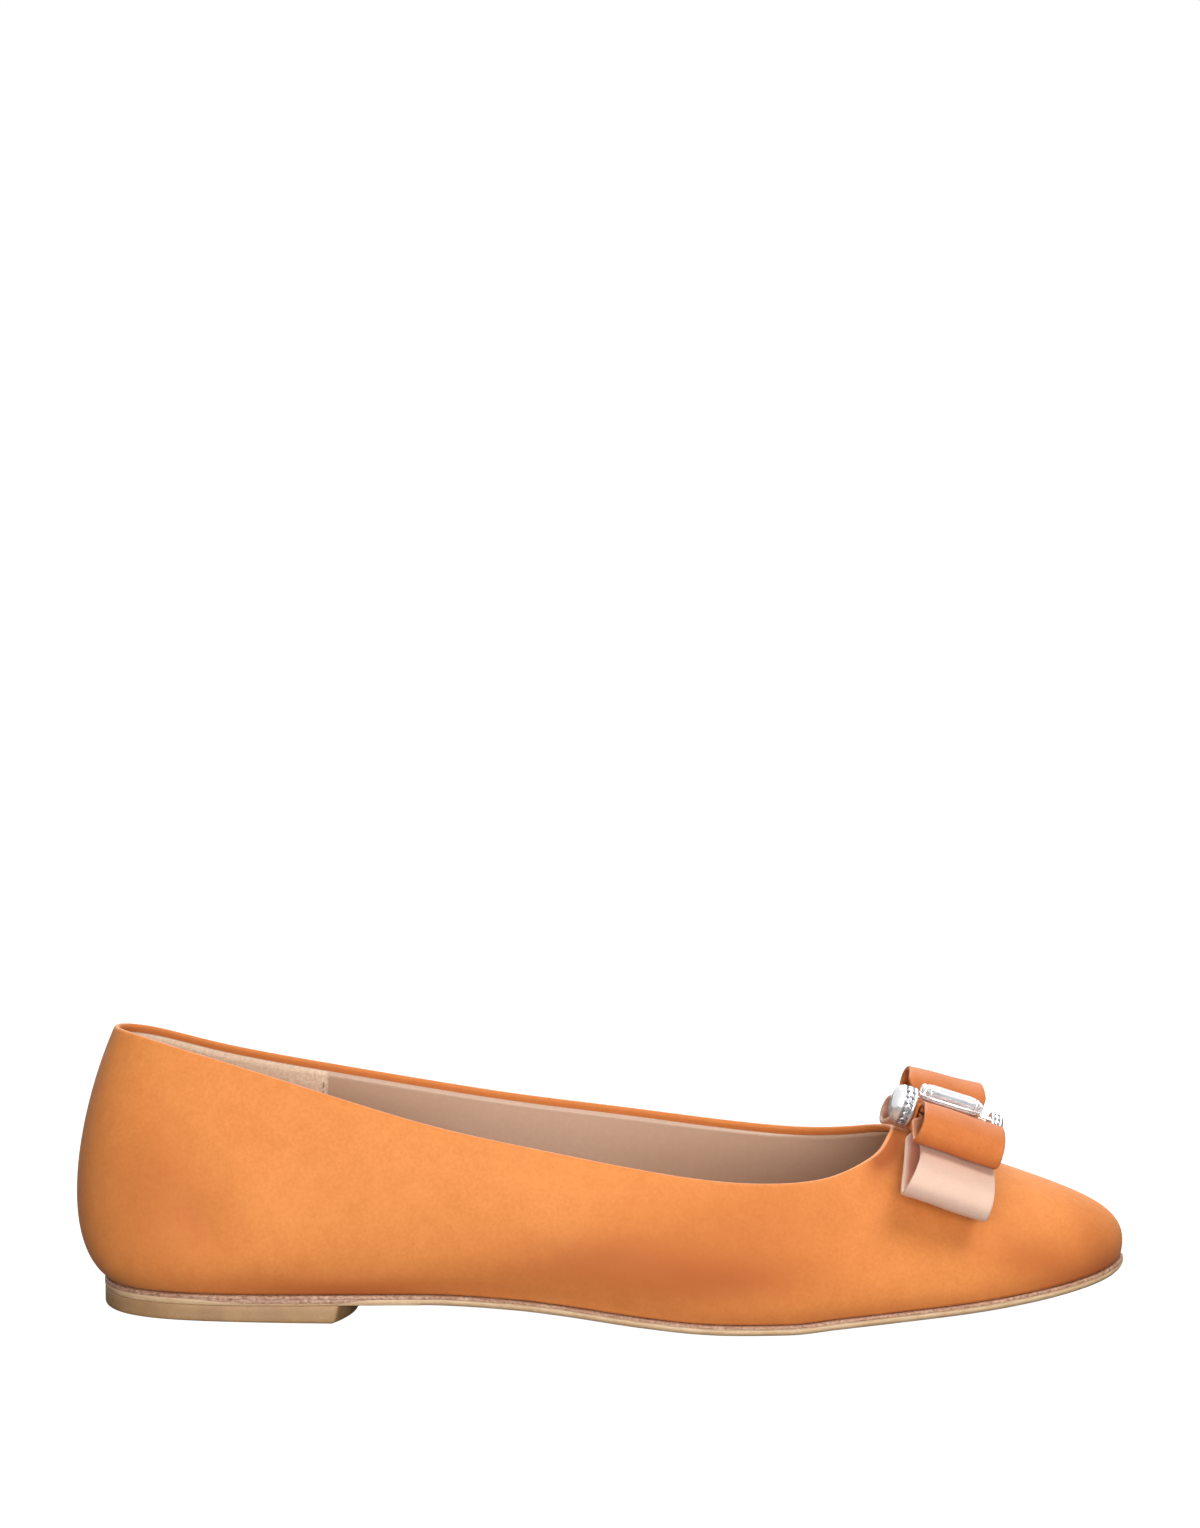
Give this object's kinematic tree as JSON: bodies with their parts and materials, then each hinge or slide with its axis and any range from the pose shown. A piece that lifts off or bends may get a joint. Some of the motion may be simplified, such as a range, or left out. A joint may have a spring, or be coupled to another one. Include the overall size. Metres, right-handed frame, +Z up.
{
  "type": "ballet flat",
  "caption": "Satin ballet flat with a thin leather sole, low heel block, two-ribbon bow and a jewelled brooch on the vamp.",
  "frame": {"origin": "on the floor under the middle of the shoe's bounding box", "axes": "+X towards the toe, +Y towards the inner side of the foot, +Z up"},
  "size_m": [0.2506, 0.0776, 0.0659],
  "materials": {
    "satin": "satin weave with a broad soft shine",
    "pink_ribbon": "satin ribbon, pale pink",
    "sole_leather": "smooth vegetable-tanned, burnished edge",
    "heel_leather": "stacked, sanded and waxed",
    "sock_leather": "matt, soft",
    "brooch_metal": "polished silver-coloured metal",
    "cut_stone": "clear, faceted"
  },
  "bodies": {
    "root": {"upper": "satin", "outsole": "sole_leather", "heel_block": "heel_leather", "insole": "sock_leather", "bow_satin": "satin", "bow_pink": "pink_ribbon", "bow_knot": "satin", "brooch_cap_heel": "brooch_metal", "brooch_cap_toe": "brooch_metal", "brooch_setting": "brooch_metal", "brooch_stone": "cut_stone"}
  },
  "joints": []
}
